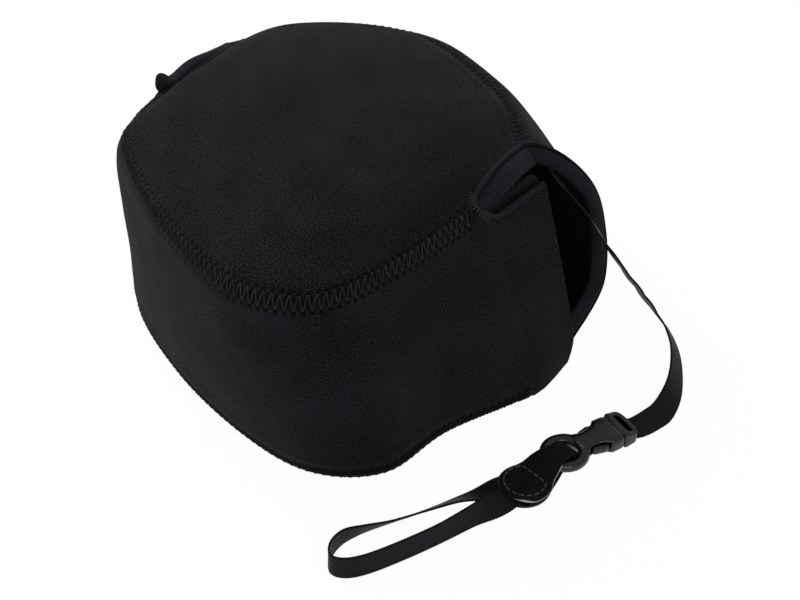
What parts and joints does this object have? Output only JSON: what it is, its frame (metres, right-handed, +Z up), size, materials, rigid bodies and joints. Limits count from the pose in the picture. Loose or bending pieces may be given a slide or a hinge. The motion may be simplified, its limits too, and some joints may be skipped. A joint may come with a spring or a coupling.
{
  "type": "neoprene camera case",
  "caption": "Soft padded wrap case for a compact-system camera, domed lid, side mouths with bendable flaps and a buckled wrist tether.",
  "frame": {"origin": "centre of the case's box, on the surface that it stands on", "axes": "+Z up, -Y towards the lens end, +X towards the mouth that the tether comes out of"},
  "size_m": [0.2153, 0.1914, 0.083],
  "materials": {
    "neoprene_top": "knit-faced neoprene",
    "neoprene_bottom": "knit-faced neoprene",
    "neoprene_front": "knit-faced neoprene",
    "neoprene_right_flap": "knit-faced neoprene",
    "neoprene_left_flap": "knit-faced neoprene",
    "neoprene_back": "knit-faced neoprene",
    "right_facing_cloth": "turned neoprene edge",
    "left_facing_cloth": "turned neoprene edge",
    "right_piping_cloth": "thin bound rim",
    "left_piping_cloth": "thin bound rim",
    "right_lip_cloth": "rolled neoprene edge",
    "left_lip_cloth": "rolled neoprene edge",
    "top_front_thread": "zigzag thread",
    "top_back_thread": "zigzag thread",
    "base_front_thread": "zigzag thread",
    "base_back_thread": "zigzag thread",
    "left_bartack_thread": "dense satin stitches",
    "right_bartack_thread": "dense satin stitches",
    "left_base_thread": "dense satin stitches",
    "right_base_thread": "dense satin stitches",
    "tether_satin": "woven satin ribbon",
    "anchor_thread": "dense stitches",
    "end_thread": "dense stitches",
    "male_plastic": "moulded, satin matte",
    "left_arm_plastic": "moulded, satin matte",
    "right_arm_plastic": "moulded, satin matte",
    "female_plastic": "moulded, satin matte",
    "tab_leather": "fine grained, matte",
    "tab_thread": "grey thread",
    "loop_satin": "woven satin ribbon"
  },
  "bodies": {
    "case": {"top_panel": "neoprene_top", "bottom_panel": "neoprene_bottom", "front_wrap": "neoprene_front", "back_wrap": "neoprene_back", "right_hood_facing": "right_facing_cloth", "left_hood_facing": "left_facing_cloth", "right_hood_piping": "right_piping_cloth", "left_hood_piping": "left_piping_cloth", "top_front_zigzag": "top_front_thread", "top_back_zigzag": "top_back_thread", "base_front_zigzag": "base_front_thread", "base_back_zigzag": "base_back_thread", "left_slot_bartack": "left_bartack_thread", "right_slot_bartack": "right_bartack_thread", "left_base_bartack": "left_base_thread", "right_base_bartack": "right_base_thread", "tether_ribbon": "tether_satin", "tether_anchor_tack": "anchor_thread", "tether_end_tack": "end_thread", "buckle_male": "male_plastic"},
    "right_flap_body": {"right_flap": "neoprene_right_flap", "right_lip_roll": "right_lip_cloth"},
    "left_flap_body": {"left_flap": "neoprene_left_flap", "left_lip_roll": "left_lip_cloth"},
    "left_arm": {"latch_arm_left": "left_arm_plastic"},
    "right_arm": {"latch_arm_right": "right_arm_plastic"},
    "socket": {"buckle_female": "female_plastic"},
    "tab": {"leather_tab": "tab_leather", "tab_stitching": "tab_thread", "loop_ribbon": "loop_satin"}
  },
  "joints": [
    {"name": "right_flap_open", "type": "hinge", "parent": "case", "child": "right_flap_body", "pos_m": [0.0628, -0.0094, 0.072], "axis": [0.326, -0.021, -0.9451], "range_deg": [0, 45], "stiffness_Nm_per_rad": 0.02},
    {"name": "left_flap_open", "type": "hinge", "parent": "case", "child": "left_flap_body", "pos_m": [-0.0751, -0.0094, 0.071], "axis": [0.06, 0.028, 0.9978], "range_deg": [0, 45], "stiffness_Nm_per_rad": 0.02},
    {"name": "left_arm_press", "type": "hinge", "parent": "case", "child": "left_arm", "pos_m": [0.11725, -0.0128, 0.00426], "axis": [0, 0, -1], "range_deg": [0, 10], "stiffness_Nm_per_rad": 0.05},
    {"name": "right_arm_press", "type": "hinge", "parent": "case", "child": "right_arm", "pos_m": [0.11035, -0.00928, 0.00426], "axis": [0, 0, 1], "range_deg": [0, 10], "stiffness_Nm_per_rad": 0.05},
    {"name": "buckle_release", "type": "slide", "parent": "case", "child": "socket", "axis": [-0.454, -0.891, 0], "range_m": [0, 0.025], "deforming": ["latch_arm_left", "latch_arm_right"]},
    {"name": "tab_swing", "type": "hinge", "parent": "socket", "child": "tab", "pos_m": [0.10358, -0.03375, 0.00426], "axis": [-0.9659, 0.2588, 0], "range_deg": [0, 80]}
  ]
}
